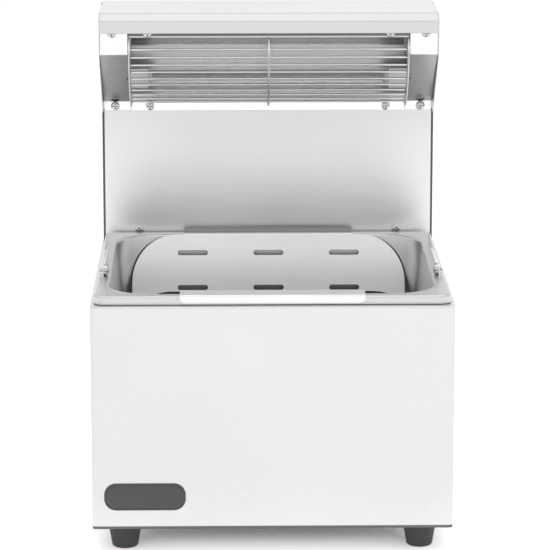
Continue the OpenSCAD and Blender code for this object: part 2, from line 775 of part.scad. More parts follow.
module riser_cover_screws() color(steel) placed() mirrored_pair()
    for (z = riser_rear_screw_zs)
        rear_screw(riser_cover_screw_x, body_d, z, case_screw);

// Hood

module hood_roof() color(steel) placed()
    folded_sheet([[body_d, roof_rear_z], [roof_fold_y, roof_fold_z], [hood_front, lip_top_z],
        [hood_front, lip_low_z]], [0, 1.5, 2, 0], hood_t, -hood_in, hood_in);

module hood_cheek() {
    across(hood_in, hood_in + cheek_t) polygon([
        [riser_front, roof_rear_z - hood_rise * (body_d - riser_front) / (body_d - roof_fold_y)],
        [roof_fold_y, roof_fold_z], [hood_front, lip_top_z], [hood_front, lip_low_z],
        [cover_y - 1, crease_z - 2], [riser_front - 22, flange_top_z - 1.5],
        [riser_front - 14, hood_low], [riser_front, hood_low]]);
}

module hood_cheek_right() color(steel) placed() hood_cheek();
module hood_cheek_left() color(steel) placed() mirror([1, 0, 0]) hood_cheek();

module hood_rail() color(steel) placed() difference() {
    block(seat_gap - hood_in, hood_in - seat_gap, rail_y, rail_y + hood_t, rail_top_z - rail_h, rail_top_z);
    mirrored_pair() for (x = [cover_screw_x, reflector_screw_x])
        screw_hole_y(x, rail_y, hood_top_screw_z, hood_screw);
}

// Cover over one end of the lamp: a folded front and a wall towards the lamp
module lamp_cover() {
    outer = hood_in - seat_gap;
    difference() {
        union() {
            folded_sheet([[cover_y, rail_top_z], [cover_y, crease_z], [cover_low_y, flange_top_z],
                [cover_low_y, hood_low]], [0, 1.8, 1.5, 0], hood_t, bay_half, outer);
            across(bay_half, bay_half + hood_t) polygon([
                [cover_y + 0.5, rail_top_z - rail_h - 0.8], [cover_y + 0.5, crease_z + 0.3],
                [cover_low_y + 0.4, flange_top_z + 0.5], [cover_low_y + 0.4, rail_top_z],
                [rail_y + hood_t + 0.8, rail_top_z], [rail_y + hood_t + 0.8, rail_top_z - rail_h - 0.8]]);
        }
        screw_hole_y(cover_screw_x, cover_y, hood_top_screw_z, hood_screw);
        screw_hole_y(cover_screw_x, cover_low_y, hood_screw_z, hood_screw);
        bar_x(bay_half - 1, bay_half + 3, lamp_y, lamp_z, lead_r + 1);
        through(cover_low_y - 1, cover_low_y + 3) difference() {
            translate([outer - 3, hood_low - 1]) square(4);
            translate([outer - 3, hood_low + 3]) circle(3);
        }
    }
}

module lamp_cover_right() color(polished) placed() lamp_cover();
module lamp_cover_left() color(polished) placed() mirror([1, 0, 0]) lamp_cover();

module reflector() color(polished) placed() difference() {
    folded_sheet([
        [reflector_front_y, rail_top_z - rail_h - 2], [reflector_front_y, lip_top_z - 4],
        [lamp_y, lip_top_z - 0.5], [lamp_y + 28, lip_top_z - 13], [reflector_back_y, lip_top_z - 37],
        [reflector_back_y, flange_top_z + 35.5], [reflector_back_y - 12, flange_top_z + 9.5],
        [reflector_back_y - 5, flange_top_z + 2.5], [reflector_low_y, flange_top_z + 0.7],
        [reflector_low_y, hood_low]],
        [0, 3, 20, 12, 12, 12, 2, 2, 1, 0], reflector_t, -reflector_half, reflector_half);
    mirrored_pair() {
        screw_hole_y(reflector_screw_x, reflector_front_y, hood_top_screw_z, hood_screw);
        screw_hole_y(reflector_screw_x, reflector_low_y, hood_screw_z, hood_screw);
    }
}

module hood_screws() color(polished) placed() mirrored_pair() {
    front_screw(cover_screw_x, cover_y, hood_top_screw_z, hood_screw);
    front_screw(cover_screw_x, cover_low_y, hood_screw_z, hood_screw);
    front_screw(reflector_screw_x, rail_y, hood_top_screw_z, hood_screw);
    front_screw(reflector_screw_x, reflector_low_y, hood_screw_z, hood_screw);
}

// Lamp

module lamp_holder() {
    difference() {
        block(holder_in, bay_half - seat_gap, lamp_y - holder_side / 2, lamp_y + holder_side / 2,
            lamp_z - holder_side / 2, lamp_z + holder_side / 2);
        bar_x(holder_in - 1, bay_half + 1, lamp_y, lamp_z, cap_r + fit_slack);
    }
}

module lamp_holder_right() color(ceramic) placed() lamp_holder();
module lamp_holder_left() color(ceramic) placed() mirror([1, 0, 0]) lamp_holder();

module lamp_tube() color(quartz) placed() difference() {
    bar_x(-lamp_l / 2, lamp_l / 2, lamp_y, lamp_z, lamp_r);
    bar_x(-lamp_l / 2 - 1, lamp_l / 2 + 1, lamp_y, lamp_z, lamp_r - lamp_wall);
}

module lamp_filament() color(brass) placed()
    bar_x(-lamp_l / 2, lamp_l / 2, lamp_y, lamp_z, filament_r);

module lamp_caps() color(ceramic) placed() mirrored_pair()
    bar_x(lamp_l / 2, lamp_l / 2 + cap_l, lamp_y, lamp_z, cap_r);

// Wire guard: long wires inside an arc, and three cross wires that follow it

function on_arc(beta, r) = [guard_y - r * sin(beta), guard_z - r * cos(beta)];

module cross_wire(x) {
    inner_r = guard_r + wire_r + seat_gap;
    follow = [for (beta = [guard_low:(guard_top - guard_low) / 8:guard_top]) on_arc(beta, inner_r)];
    path = concat([[reflector_low_y - 0.2, flange_top_z - 2.3]], follow,
        [[reflector_front_y + 0.2, rail_top_z - rail_h - 2.5]]);
    across(x - wire_r, x + wire_r) polygon(sheet_band(path, 2 * wire_r));
}

module wire_guard() color(polished) placed() {
    for (i = [0:guard_wires - 1]) {
        p = on_arc(guard_first + (guard_last - guard_first) * i / (guard_wires - 1), guard_r);
        bar_x(-guard_half, guard_half, p[0], p[1], wire_r);
    }
    for (x = [-cross_wire_x, 0, cross_wire_x]) cross_wire(x);
}

// Wiring inside the riser and the body

module lamp_leads() color(ceramic) placed() {
    lead([
        [lamp_l / 2 + cap_l, lamp_y, lamp_z], [bay_half + 6, lamp_y, lamp_z],
        [lead_x, riser_front - 14, lead_z],
        [lead_x, rise_y, lead_z], [lead_x, rise_y, lead_z - 20], [lead_x, rise_y, deck_z + 46],
        [deck_slot_x + 12, deck_slot_y, deck_z + 26], [deck_slot_x + 12, deck_slot_y, deck_z - 20],
        [terminal_xs[3], terminal_lead_y, block_z + block_h + 24],
        [terminal_xs[3], terminal_lead_y, block_z + block_h]], lead_r);
    lead([
        [-lamp_l / 2 - cap_l, lamp_y, lamp_z], [-bay_half - 6, lamp_y, lamp_z],
        [-lead_x, riser_front - 14, lead_z],
        [-lead_x, rise_y, lead_z], [-lead_x, rise_y, lead_z - 20], [-lead_x, rise_y, deck_z + 60],
        [deck_slot_x - 60, deck_slot_y, deck_z + 34], [deck_slot_x - 12, deck_slot_y, deck_z + 20],
        [deck_slot_x - 12, deck_slot_y, deck_z - 20],
        [terminal_xs[2], terminal_lead_y, block_z + block_h + 24],
        [terminal_xs[2], terminal_lead_y, block_z + block_h]], lead_r);
}

module terminal_block() color(ceramic) placed() difference() {
    block(-block_l / 2, block_l / 2, block_y, block_y + block_d, block_z, block_z + block_h);
    for (x = terminal_xs)
        bar_y(x, block_y + block_d - 6, block_y + block_d + 1, block_z + block_h / 2, terminal_r + hole_gap);
    for (x = [-block_screw_x, block_screw_x])
        bar_y(x, block_y - 1, block_y + block_d + 1, block_z + block_h / 2, block_screw[2] + hole_gap);
}

module terminal_screws() color(brass) placed() {
    for (x = terminal_xs)
        difference() {
            bar_y(x, block_y + block_d - 6, block_y + block_d - 2, block_z + block_h / 2, terminal_r);
            block(x - terminal_r - 1, x + terminal_r + 1, block_y + block_d - 3, block_y + block_d,
                block_z + block_h / 2 - 0.5, block_z + block_h / 2 + 0.5);
        }
    for (x = [-block_screw_x, block_screw_x])
        rear_screw(x, block_y + block_d, block_z + block_h / 2, block_screw);
}

module switch_leads() color(black_plastic) placed() {
    back_y = rear_panel_y - switch_d;
    z = base_z + rear_z;
    lead([[switch_x - 8, back_y, z + 6], [switch_x - 8, back_y - 5, z + 6],
        [switch_x - 26, terminal_lead_y, z + 12],
        [terminal_xs[1] + 10, terminal_lead_y, z + 24], [terminal_xs[1], terminal_lead_y, z + 32],
        [terminal_xs[1], terminal_lead_y, block_z]], lead_r);
    lead([[switch_x - 8, back_y, z - 6], [switch_x - 8, back_y - 5, z - 6],
        [switch_x - 26, terminal_lead_y, z - 4],
        [terminal_xs[0] + 10, terminal_lead_y, z + 12], [terminal_xs[0], terminal_lead_y, z + 22],
        [terminal_xs[0], terminal_lead_y, block_z]], lead_r);
}

// Switch, cord entry and earth stud on the rear

module switch_body() color(black_plastic) placed() difference() {
    z = base_z + rear_z;
    union() {
        block(switch_x - neck_w / 2, switch_x + neck_w / 2, rear_panel_y - switch_d, body_d + sliver,
            z - neck_h / 2, z + neck_h / 2);
        block(switch_x - switch_w / 2, switch_x + switch_w / 2, body_d, body_d + bezel_t,
            z - switch_h / 2, z + switch_h / 2);
    }
    block(switch_x - rocker_w / 2, switch_x + rocker_w / 2, rocker_axis_y - 8, body_d + bezel_t + 1,
        z - rocker_h / 2, z + rocker_h / 2);
    bar_x(switch_x - neck_w / 2 - 1, switch_x + neck_w / 2 + 1, rocker_axis_y, z,
        rocker_pin_r + rocker_pin_gap);
}

module switch_rocker() color(black_plastic) placed()
    translate([switch_x, rocker_axis_y, base_z + rear_z]) rotate([rocker_swing / 2, 0, 0]) {
        half = rocker_w / 2 - fit_gap;
        across(-half, half) polygon([
            [-5, -3], [-5, 3], [-1, 6.4], [5.4, 6.8], [4.6, 0], [5.4, -6.8], [-1, -6.4]]);
        bar_x(-neck_w / 2 + fit_gap, neck_w / 2 - fit_gap, 0, 0, rocker_pin_r);
    }

module gland_body() color(black_plastic) placed() translate([-gland_x, body_d, base_z + rear_z])
    rotate([-90, 0, 0]) rotate_extrude() polygon([
        [gland_bore_r, gland_in_y - body_d], [gland_thread_r, gland_in_y - body_d], [gland_thread_r, 0],
        [gland_flange_r, 0], [gland_flange_r, 2.4], [gland_flange_r - 2.5, 3.4],
        [gland_flange_r - 3, gland_out - 2.5], [gland_flange_r - 5, gland_out], [gland_bore_r, gland_out]]);

module gland_nut() color(black_plastic) placed()
    translate([-gland_x, rear_panel_y, base_z + rear_z]) rotate([90, 0, 0]) difference() {
        cylinder(h = gland_nut_h, r = gland_flange_r, $fn = 6);
        translate([0, 0, -1]) cylinder(h = gland_nut_h + 2, r = gland_thread_r + fit_slack);
    }

module earth_stud() color(brass) placed() translate([earth_x, earth_y, 0]) {
    bar_z(0, 0, floor_z, floor_top_z + stud_h, stud_r);
    translate([0, 0, floor_top_z]) cylinder(h = stud_nut_h, r = 2 * stud_r, $fn = 6);
}

casing();
floor_plate();
rear_panel();
bulkhead();
top_deck();
badge_plate();
foot_front_left();
foot_front_right();
foot_rear_left();
foot_rear_right();
foot_screws();
floor_screws();
rear_panel_screws();
pan();
pan_lug_left();
pan_lug_right();
pan_lug_screws();
drain_insert();
riser_front_sheet();
riser_rear_cover();
riser_bracket();
riser_screws();
riser_cover_screws();
hood_roof();
hood_cheek_left();
hood_cheek_right();
hood_rail();
lamp_cover_left();
lamp_cover_right();
reflector();
hood_screws();
lamp_holder_left();
lamp_holder_right();
lamp_tube();
lamp_filament();
lamp_caps();
wire_guard();
lamp_leads();
terminal_block();
terminal_screws();
switch_body();
switch_rocker();
switch_leads();
gland_body();
gland_nut();
earth_stud();
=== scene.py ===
import math

import bpy
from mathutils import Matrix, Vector


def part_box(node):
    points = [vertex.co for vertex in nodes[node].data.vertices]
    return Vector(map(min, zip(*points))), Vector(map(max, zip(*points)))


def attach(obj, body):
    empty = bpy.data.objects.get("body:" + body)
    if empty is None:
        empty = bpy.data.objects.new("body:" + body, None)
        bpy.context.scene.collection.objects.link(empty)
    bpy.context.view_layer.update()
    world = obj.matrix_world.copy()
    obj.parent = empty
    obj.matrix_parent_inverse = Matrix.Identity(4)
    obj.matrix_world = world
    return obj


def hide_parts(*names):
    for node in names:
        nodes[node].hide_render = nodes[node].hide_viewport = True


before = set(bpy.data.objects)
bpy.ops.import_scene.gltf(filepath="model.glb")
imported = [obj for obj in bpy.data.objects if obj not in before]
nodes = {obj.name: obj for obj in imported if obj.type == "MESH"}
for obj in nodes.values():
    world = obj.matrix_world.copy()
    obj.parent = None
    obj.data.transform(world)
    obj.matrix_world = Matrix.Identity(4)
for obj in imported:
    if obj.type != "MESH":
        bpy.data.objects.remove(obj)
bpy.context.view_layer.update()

# Metres; the body's front face stands at faceY
mm = 0.001
faceY = -0.1888

# Camera: a long lens, a little left of the middle, looking down on the pan

cameraData = bpy.data.cameras.new("longLens")
cameraData.lens = 194.14
cameraData.sensor_width = 36
cameraData.clip_start = 0.05
cameraData.clip_end = 60
camera = bpy.data.objects.new("longLens", cameraData)
camera.location = (-0.044, -3.0328, 0.8946)
camera.rotation_euler = (math.radians(77.91), 0, math.radians(-0.93))
bpy.context.collection.objects.link(camera)
bpy.context.scene.camera = camera
bpy.context.scene.view_settings.view_transform = "Standard"
print("camera set")


# Node helpers

def freshLook(name, metallic, roughness):
    mat = bpy.data.materials.new(name)
    mat.use_nodes = True
    shader = mat.node_tree.nodes["Principled BSDF"]
    shader.inputs["Metallic"].default_value = metallic
    shader.inputs["Roughness"].default_value = roughness
    return mat, mat.node_tree, shader


def addNode(tree, kind, **settings):
    node = tree.nodes.new(kind)
    for key, value in settings.items():
        setattr(node, key, value)
    return node


def noiseField(tree, scale, detail, stretch=(1, 1, 1), offset=0.0):
    where = addNode(tree, "ShaderNodeTexCoord")
    spread = addNode(tree, "ShaderNodeMapping")
    spread.inputs["Scale"].default_value = stretch
    spread.inputs["Location"].default_value = (offset, offset, offset)
    noise = addNode(tree, "ShaderNodeTexNoise")
    noise.inputs["Scale"].default_value = scale
    noise.inputs["Detail"].default_value = detail
    tree.links.new(where.outputs["Object"], spread.inputs["Vector"])
    tree.links.new(spread.outputs["Vector"], noise.inputs["Vector"])
    return noise.outputs["Fac"]


def spreadOver(tree, source, low, high, near=0.3, far=0.7):
    span = addNode(tree, "ShaderNodeMapRange", interpolation_type="SMOOTHSTEP")
    span.inputs["From Min"].default_value = near
    span.inputs["From Max"].default_value = far
    span.inputs["To Min"].default_value = low
    span.inputs["To Max"].default_value = high
    tree.links.new(source, span.inputs["Value"])
    return span.outputs["Result"]


def addUp(tree, first, second):
    total = addNode(tree, "ShaderNodeMath", operation="ADD")
    tree.links.new(first, total.inputs[0])
    tree.links.new(second, total.inputs[1])
    return total.outputs["Value"]


def blendTones(tree, factor, first, second):
    ramp = addNode(tree, "ShaderNodeValToRGB")
    ramp.color_ramp.elements[0].position = 0.3
    ramp.color_ramp.elements[1].position = 0.7
    ramp.color_ramp.elements[0].color = (*first, 1)
    ramp.color_ramp.elements[1].color = (*second, 1)
    tree.links.new(factor, ramp.inputs["Fac"])
    return ramp.outputs["Color"]


def raiseSkin(tree, shader, height, strength, distance, edge=0.0):
    bump = addNode(tree, "ShaderNodeBump")
    bump.inputs["Strength"].default_value = strength
    bump.inputs["Distance"].default_value = distance
    tree.links.new(height, bump.inputs["Height"])
    if edge:
        rounding = addNode(tree, "ShaderNodeBevel", samples=4)
        rounding.inputs["Radius"].default_value = edge
        tree.links.new(rounding.outputs["Normal"], bump.inputs["Normal"])
    tree.links.new(bump.outputs["Normal"], shader.inputs["Normal"])


# Painted shade and light: the tone's strength along one axis, or by the distance from a pair of lines on it
def shadeAlong(tree, colour, axis, atLow, atHigh, low, high, line=None):
    where = addNode(tree, "ShaderNodeTexCoord")
    level = addNode(tree, "ShaderNodeSeparateXYZ")
    tree.links.new(where.outputs["Object"], level.inputs["Vector"])
    value = level.outputs[axis]
    if line:
        aside = addNode(tree, "ShaderNodeMath", operation="ABSOLUTE")
        apart = addNode(tree, "ShaderNodeMath", operation="SUBTRACT")
        apart.inputs[1].default_value = line
        away = addNode(tree, "ShaderNodeMath", operation="ABSOLUTE")
        tree.links.new(value, aside.inputs[0])
        tree.links.new(aside.outputs["Value"], apart.inputs[0])
        tree.links.new(apart.outputs["Value"], away.inputs[0])
        value = away.outputs["Value"]
    paintedShade = addNode(tree, "ShaderNodeVectorMath", operation="SCALE")
    tree.links.new(colour, paintedShade.inputs[0])
    tree.links.new(spreadOver(tree, value, atLow, atHigh, low, high), paintedShade.inputs["Scale"])
    return paintedShade.outputs["Vector"]


# Painted shade: darkens the tone in a screw's cross and round its head, where nearby surfaces occlude
def paintRecessShade(tree, colour, reach):
    nook = addNode(tree, "ShaderNodeAmbientOcclusion", samples=8)
    nook.inputs["Distance"].default_value = reach
    shadedTone = addNode(tree, "ShaderNodeVectorMath", operation="SCALE")
    tree.links.new(colour, shadedTone.inputs[0])
    openShare = spreadOver(tree, nook.outputs["AO"], 0.06, 1.0, 0.4, 0.92)
    tree.links.new(openShare, shadedTone.inputs["Scale"])
    return shadedTone.outputs["Vector"]


# Stainless sheet: fine lines of the finish, clouds of handling, softened edges; also painted shade and
# light in bands, and painted shade in recesses
def steelLook(name, tone, rough, lines, spread=0.025, depth=0.05, edge=0.0007, shades=(), recessShade=0.0):
    mat, tree, shader = freshLook(name, 1.0, rough)
    grain = noiseField(tree, 1.0, 3, lines)
    cloud = noiseField(tree, 9.0, 4, offset=0.37)
    fine = spreadOver(tree, grain, rough - spread, rough + spread)
    smear = spreadOver(tree, cloud, -0.025, 0.03)
    tree.links.new(addUp(tree, fine, smear), shader.inputs["Roughness"])
    dull = tuple(c * 0.965 for c in tone)
    colour = blendTones(tree, cloud, dull, tone)
    for shade in shades:
        colour = shadeAlong(tree, colour, *shade)
    # Painted shade in recesses, from the occlusion node
    if recessShade:
        colour = paintRecessShade(tree, colour, recessShade)
    tree.links.new(colour, shader.inputs["Base Color"])
    raiseSkin(tree, shader, grain, depth, 0.00004, edge)
    return mat


# Moulded or fired surfaces: a mottled tone and a fine pitted skin
def mouldedLook(name, tone, rough, pits=900, depth=0.3, mottle=0.85, edge=0.0005):
    mat, tree, shader = freshLook(name, 0.0, rough)
    skin = noiseField(tree, pits, 3)
    cloud = noiseField(tree, 22.0, 4, offset=1.7)
    dark = tuple(c * mottle for c in tone)
    tree.links.new(blendTones(tree, cloud, dark, tone), shader.inputs["Base Color"])
    tree.links.new(spreadOver(tree, cloud, rough - 0.05, rough + 0.06), shader.inputs["Roughness"])
    raiseSkin(tree, shader, skin, depth, 0.0001, edge)
    return mat


def quartzLook():
    mat, tree, shader = freshLook("quartzGlass", 0.0, 0.04)
    shader.inputs["Transmission Weight"].default_value = 1.0
    shader.inputs["IOR"].default_value = 1.46
    shader.inputs["Base Color"].default_value = (0.97, 0.975, 0.98, 1)
    draw = noiseField(tree, 1.0, 2, (6, 400, 400))
    tree.links.new(spreadOver(tree, draw, 0.02, 0.09), shader.inputs["Roughness"])
    raiseSkin(tree, shader, draw, 0.1, 0.0001)
    return mat


# Direction of the finish: how much the grain is stretched along each axis
alongX = (12, 2400, 2400)
alongY = (2400, 12, 2400)
everyWay = (900, 900, 900)

# Folds and creases of the sheets, measured from the CAD boxes
panLow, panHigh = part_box("pan")
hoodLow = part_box("hood_roof")[0]
lipY = panHigh.y - 13.5 * mm
hoodBend = hoodLow.z + 13.7 * mm
hoodFold = abs(hoodLow.y + 16 * mm)
coverCrease = hoodLow.z - 23.1 * mm
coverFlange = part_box("lamp_cover_left")[0].z + 10.2 * mm

looks = {
    "bodySteel": steelLook("bodySteel", (0.72, 0.725, 0.73), 0.28, alongX, edge=0.0012),
    # Painted shade: a dark band along the casing's bottom bend, about 27.5 mm up
    "casingSteel": steelLook("casingSteel", (0.69, 0.695, 0.70), 0.28, alongX, spread=0.015,
                             depth=0.02, edge=0.0012,
                             shades=[("Z", 0.2, 1.0, 1.4 * mm, 2.3 * mm, 27.5 * mm)]),
    # Painted shade: the front lip darker below the bend, and a thin darker line along the roof's fold
    "hoodSteel": steelLook("hoodSteel", (0.80, 0.805, 0.81), 0.28, alongX, depth=0.035, edge=0.0012,
                           shades=[("Z", 0.76, 1.0, hoodBend - 0.4 * mm, hoodBend + 0.6 * mm),
                                   ("Y", 0.84, 1.0, 1.2 * mm, 2.4 * mm, hoodFold)]),
    # Painted shade: darker towards the top, from 272 mm up to 440 mm, and dark bands along both side edges
    "riserSteel": steelLook("riserSteel", (0.90, 0.905, 0.91), 0.34, alongX, spread=0.02,
                            depth=0.025, edge=0.0012,
                            shades=[("Z", 1.0, 0.72, 272 * mm, 440 * mm),
                                    ("X", 0.12, 1.0, 1.15 * mm, 1.43 * mm, 178.55 * mm)]),
    "innerSteel": steelLook("innerSteel", (0.66, 0.67, 0.68), 0.38, alongX, spread=0.05),
    # Painted shade: the rail under the hood's lip has a near-black tone for the shade it stands in
    "shadedRailSteel": steelLook("shadedRailSteel", (0.15, 0.15, 0.155), 0.42, alongX, spread=0.05),
    "panSteel": steelLook("panSteel", (0.64, 0.645, 0.65), 0.30, alongY, spread=0.03, edge=0),
    # Painted shade: darker towards the bottom of the plate, and half tone on the rear lip behind lipY
    "insertSteel": steelLook("insertSteel", (0.83, 0.83, 0.835), 0.32, alongX, edge=0.0003,
                             shades=[("Z", 0.66, 1.0, 205 * mm, 256 * mm),
                                     ("Y", 1.0, 0.5, lipY - 1 * mm, lipY + 1 * mm)]),
    "lugSteel": steelLook("lugSteel", (0.95, 0.95, 0.955), 0.30, alongY),
    # Painted shade: the lower face below the crease at half tone; the flange below it is brought back to
    # full tone
    "coverSteel": steelLook("coverSteel", (0.84, 0.84, 0.845), 0.26, alongX,
                            shades=[("Z", 0.5, 1.0, coverCrease - 0.8 * mm, coverCrease + 0.4 * mm),
                                    ("Z", 2.0, 1.0, coverFlange - 0.4 * mm, coverFlange + 0.4 * mm)]),
    # Painted light: the reflector's lower part up to twice as bright below 424 mm, fading out by 446 mm
    "reflectorSteel": steelLook("reflectorSteel", (0.52, 0.52, 0.525), 0.28, (12, 1400, 1400),
                                spread=0.015, depth=0.015,
                                shades=[("Z", 2.0, 1.0, 424 * mm, 446 * mm)]),
    # Painted shade: the screws' crosses and the rims round their heads are darkened
    "screwSteel": steelLook("screwSteel", (0.60, 0.60, 0.605), 0.18, everyWay, edge=0, recessShade=1.6 * mm),
    "guardWire": steelLook("guardWire", (0.66, 0.66, 0.67), 0.14, (20, 1600, 1600), spread=0.04, edge=0),
    "footRubber": mouldedLook("footRubber", (0.036, 0.036, 0.038), 0.62, 1500, 0.35),
    "badgeEnamel": mouldedLook("badgeEnamel", (0.026, 0.026, 0.028), 0.24, 1200, 0.05, 0.93, edge=0),
    "whiteCeramic": mouldedLook("whiteCeramic", (0.57, 0.57, 0.565), 0.42, 700, 0.25, 0.94),
    "quartzGlass": quartzLook(),
    "filamentWire": steelLook("filamentWire", (0.42, 0.40, 0.38), 0.35, everyWay, edge=0),
    "lampLead": mouldedLook("lampLead", (0.80, 0.78, 0.72), 0.55, 1800, 0.4, edge=0),
    "blackLead": mouldedLook("blackLead", (0.022, 0.022, 0.024), 0.45, 1800, 0.3, edge=0),
    "brassPart": steelLook("brassPart", (0.72, 0.55, 0.26), 0.24, everyWay, edge=0.0003),
    "blackPlastic": mouldedLook("blackPlastic", (0.030, 0.030, 0.033), 0.40, 1300, 0.3, 0.8),
}

# The badge's clear coat
gloss = looks["badgeEnamel"].node_tree.nodes["Principled BSDF"]
gloss.inputs["Coat Weight"].default_value = 0.6
gloss.inputs["Coat Roughness"].default_value = 0.06

# Each look and the CAD nodes that wear it
worn = {
    "bodySteel": ["top_deck", "rear_panel", "riser_rear_cover", "hood_cheek_left", "hood_cheek_right"],
    "hoodSteel": ["hood_roof"],
    "casingSteel": ["casing"],
    "riserSteel": ["riser_front_sheet"],
    "innerSteel": ["floor_plate", "bulkhead", "riser_bracket"],
    "shadedRailSteel": ["hood_rail"],
    "insertSteel": ["drain_insert"],
    "lugSteel": ["pan_lug_left", "pan_lug_right"],
    "coverSteel": ["lamp_cover_left", "lamp_cover_right"],
    "reflectorSteel": ["reflector"],
    "screwSteel": ["foot_screws", "floor_screws", "rear_panel_screws", "pan_lug_screws", "riser_screws",
                   "riser_cover_screws", "hood_screws"],
    "footRubber": ["foot_front_left", "foot_front_right", "foot_rear_left", "foot_rear_right"],
    "whiteCeramic": ["lamp_holder_left", "lamp_holder_right", "lamp_caps", "terminal_block"],
    "quartzGlass": ["lamp_tube"],
    "lampLead": ["lamp_leads"],
    "blackLead": ["switch_leads"],
    "brassPart": ["terminal_screws", "earth_stud"],
    "blackPlastic": ["switch_body", "switch_rocker", "gland_body", "gland_nut"],
}
for lookName, carriers in worn.items():
    for carrier in carriers:
        for slotOn in nodes[carrier].material_slots:
            slotOn.material = looks[lookName]
print("materials on the sheet parts")


# Mesh helpers

def makePiece(name, points, faces, look, smooth=40):
    mesh = bpy.data.meshes.new(name)
    mesh.from_pydata([tuple(p) for p in points], [], faces)
    mesh.validate()
    mesh.shade_smooth()
    mesh.set_sharp_from_angle(angle=math.radians(smooth))
    mesh.materials.append(look)
    piece = bpy.data.objects.new(name, mesh)
    bpy.context.collection.objects.link(piece)
    return piece


def loftRings(rings):
    count = len(rings[0])
    points = [p for ring in rings for p in ring]
    faces = []
    for r in range(len(rings) - 1):
        for k in range(count):
            a = r * count + k
            b = r * count + (k + 1) % count
            faces.append((a, b, b + count, a + count))
    faces.append(tuple(range(count - 1, -1, -1)))
    last = (len(rings) - 1) * count
    faces.append(tuple(range(last, last + count)))
    return points, faces


# A round wire swept along points, its section carried without twist
def sweepWire(path, radius, sides):
    path = [Vector(p) for p in path]
    side = None
    rings = []
    for i, p in enumerate(path):
        ahead = path[min(i + 1, len(path) - 1)]
        behind = path[max(i - 1, 0)]
        along = (ahead - behind).normalized()
        if side is None:
            side = along.orthogonal().normalized()
        side = (side - along * side.dot(along)).normalized()
        other = along.cross(side)
        rings.append([p + radius * (math.cos(a) * side + math.sin(a) * other)
                      for a in (2 * math.pi * k / sides for k in range(sides))])
    return rings


def gatherSolids(solids):
    points, faces = [], []
    for solidPoints, solidFaces in solids:
        start = len(points)
        points += solidPoints
        faces += [tuple(start + i for i in face) for face in solidFaces]
    return points, faces


# A ring of points round a rectangle with rounded corners, in plan
def planRing(halfW, halfD, corner, z, midY, turns=10, runs=6):
    ring = []
    ends = [(1, 1, 0), (-1, 1, 90), (-1, -1, 180), (1, -1, 270)]
    for spot, (sx, sy, start) in enumerate(ends):
        cx, cy = sx * (halfW - corner), sy * (halfD - corner)
        for i in range(turns + 1):
            a = math.radians(start + 90 * i / turns)
            ring.append(Vector((cx + corner * math.cos(a), midY + cy + corner * math.sin(a), z)))
        nx, ny, nextStart = ends[(spot + 1) % 4]
        a = math.radians(nextStart)
        target = Vector((nx * (halfW - corner) + corner * math.cos(a),
                         midY + ny * (halfD - corner) + corner * math.sin(a), z))
        origin = ring[-1].copy()
        for i in range(1, runs):
            ring.append(origin.lerp(target, i / runs))
    return ring


# Pan: one pressed sheet, from the skirt of its rim down to its floor

pan = {
    "halfW": panHigh.x, "halfD": (panHigh.y - panLow.y) / 2, "midY": (panHigh.y + panLow.y) / 2,
    "top": panHigh.z, "floor": panLow.z + 1.0 * mm, "skirt": 8.5 * mm, "sheet": 1.0 * mm,
    "flangeX": 13.5 * mm, "flangeY": 12.5 * mm, "corner": 46 * mm, "rimCorner": 12 * mm,
    "lip": 2.5 * mm, "draft": 7 * mm, "sump": 14 * mm,
    "floorInset": 21 * mm, "floorCorner": 35.5 * mm, "slack": 0.3 * mm,
}


def panTub(inset, z):
    return planRing(pan["halfW"] - pan["flangeX"] - inset, pan["halfD"] - pan["flangeY"] - inset,
                    pan["corner"] - inset / 2, z, pan["midY"])


def panRim(inset, z):
    return planRing(pan["halfW"] - inset, pan["halfD"] - inset, pan["rimCorner"] - inset * 0.9, z,
                    pan["midY"])


# Rings of one face of the sheet, from the floor's middle out to the end of the skirt
def panSide(offset):
    top, floor, sump, lip = pan["top"] - offset, pan["floor"] - offset, pan["sump"], pan["lip"]
    floorInset, slack = pan["floorInset"], pan["slack"]
    rings = []
    for share in (0.25, 0.6):
        rings.append(planRing((pan["halfW"] - pan["flangeX"] - floorInset) * share,
                              (pan["halfD"] - pan["flangeY"] - floorInset) * share,
                              pan["floorCorner"] * share, floor, pan["midY"]))
    for i in range(9):
        a = math.radians(90 * i / 8)
        rings.append(panTub(floorInset - (sump + offset) * math.sin(a), floor + sump + offset
                            - (sump + offset) * math.cos(a)))
    wallTop = top - lip
    for share in (0.25, 0.5, 0.75, 1.0):
        z = floor + sump + offset + (wallTop - floor - sump - offset) * share
        rings.append(panTub((pan["draft"] - slack) * (1 - share) - offset + slack, z))
    for i in range(1, 6):
        a = math.radians(90 * i / 5)
        rings.append(panTub(slack - offset - lip * (1 - math.cos(a)), wallTop + lip * math.sin(a)))
    inner, outer = panTub(-lip - offset, top), panRim(lip, top)
    for share in (0.15, 0.4, 0.7, 0.9):
        rings.append([a.lerp(b, share) for a, b in zip(inner, outer)])
    for i in range(7):
        a = math.radians(90 * i / 6)
        reach = lip - offset
        rings.append(panRim(offset + reach * (1 - math.sin(a)), top - reach * (1 - math.cos(a))))
    rings.append(panRim(offset, pan["top"] - pan["skirt"]))
    return rings


panPoints, panFaces = loftRings(panSide(0) + panSide(pan["sheet"])[::-1])
panPiece = makePiece("pressedPan", panPoints, panFaces, looks["panSteel"])
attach(panPiece, "pan_unit")
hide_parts("pan")
print("pan pressed")

# Wire guard: long wires under the hood, held by three that follow the arc

guard = {
    "y": faceY + 354.8 * mm, "z": 498.9 * mm, "arc": 100 * mm, "wire": 1.25 * mm, "gap": 0.2 * mm,
    "half": 148.4 * mm, "cross": 147.2 * mm, "first": 75, "last": 27, "count": 10,
    "crossLow": 25, "crossTop": 78, "crossSteps": 26, "sides": 14, "dome": 0.72,
    "lowEnd": (faceY + 341.0 * mm, 403.3 * mm), "topEnd": (faceY + 258.2 * mm, 485.0 * mm),
}


